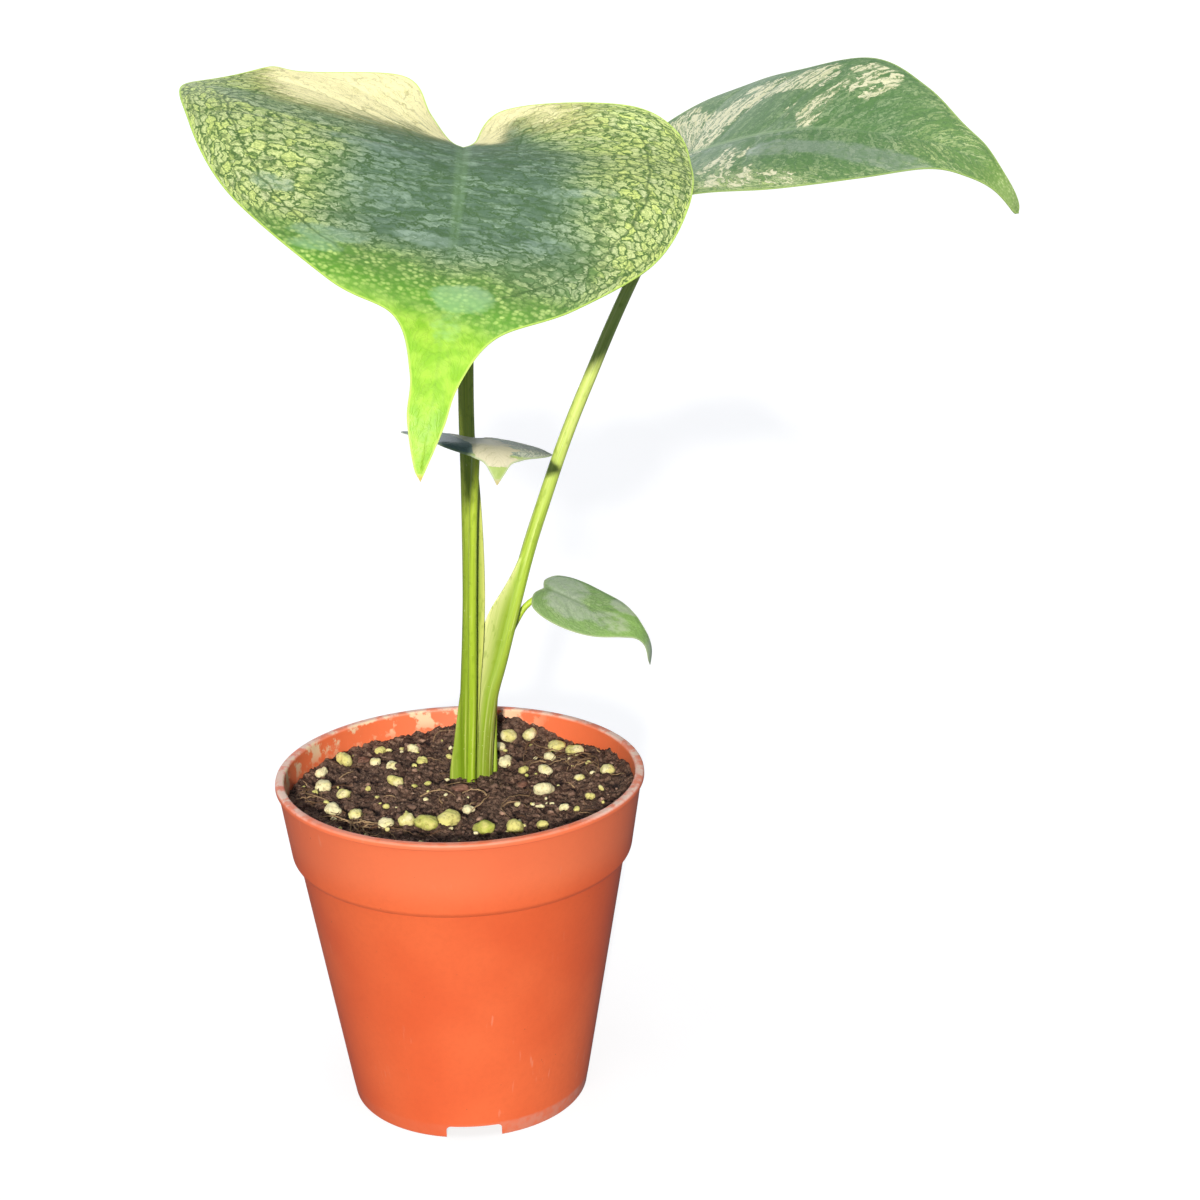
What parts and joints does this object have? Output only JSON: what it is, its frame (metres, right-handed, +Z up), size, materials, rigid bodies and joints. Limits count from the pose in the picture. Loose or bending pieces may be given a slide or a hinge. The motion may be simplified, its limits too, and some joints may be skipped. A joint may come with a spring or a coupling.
{
  "type": "potted monstera plant",
  "caption": "Young potted monstera: long-stalked heart-shaped leaves with drip tips over a round tapered nursery pot filled with soil and mineral granules.",
  "frame": {"origin": "centre of the pot's underside, on the surface that the pot stands on", "axes": "+Z up along the pot's axis, -Y towards the front of the plant, where the big leaf's tip points, +X to the right, where the second leaf points"},
  "size_m": [0.2487, 0.2208, 0.3352],
  "materials": {
    "nursery_pot": "satin",
    "potting_soil": "matte",
    "mineral_granule": "matte",
    "bark_chip": "matte",
    "front_petiole": "satin",
    "right_petiole": "satin",
    "small_right_petiole": "satin",
    "small_front_petiole": "satin",
    "front_leaf": "satin",
    "right_leaf": "satin",
    "small_right_leaf": "satin",
    "small_front_leaf": "satin"
  },
  "bodies": {
    "root": {"bark_chip_1": "bark_chip", "bark_chip_2": "bark_chip", "bark_chip_3": "bark_chip", "front_leaf": "front_leaf", "front_petiole": "front_petiole", "mineral_granule_01": "mineral_granule", "mineral_granule_02": "mineral_granule", "mineral_granule_03": "mineral_granule", "mineral_granule_04": "mineral_granule", "mineral_granule_05": "mineral_granule", "mineral_granule_06": "mineral_granule", "mineral_granule_07": "mineral_granule", "mineral_granule_08": "mineral_granule", "mineral_granule_09": "mineral_granule", "mineral_granule_10": "mineral_granule", "mineral_granule_11": "mineral_granule", "mineral_granule_12": "mineral_granule", "mineral_granule_13": "mineral_granule", "mineral_granule_14": "mineral_granule", "mineral_granule_15": "mineral_granule", "mineral_granule_16": "mineral_granule", "mineral_granule_17": "mineral_granule", "mineral_granule_18": "mineral_granule", "mineral_granule_19": "mineral_granule", "mineral_granule_20": "mineral_granule", "mineral_granule_21": "mineral_granule", "mineral_granule_22": "mineral_granule", "mineral_granule_23": "mineral_granule", "mineral_granule_24": "mineral_granule", "mineral_granule_25": "mineral_granule", "mineral_granule_26": "mineral_granule", "mineral_granule_27": "mineral_granule", "mineral_granule_28": "mineral_granule", "mineral_granule_29": "mineral_granule", "mineral_granule_30": "mineral_granule", "mineral_granule_31": "mineral_granule", "mineral_granule_32": "mineral_granule", "mineral_granule_33": "mineral_granule", "mineral_granule_34": "mineral_granule", "nursery_pot": "nursery_pot", "potting_soil": "potting_soil", "right_leaf": "right_leaf", "right_petiole": "right_petiole", "small_front_leaf": "small_front_leaf", "small_front_petiole": "small_front_petiole", "small_right_leaf": "small_right_leaf", "small_right_petiole": "small_right_petiole"}
  },
  "joints": []
}
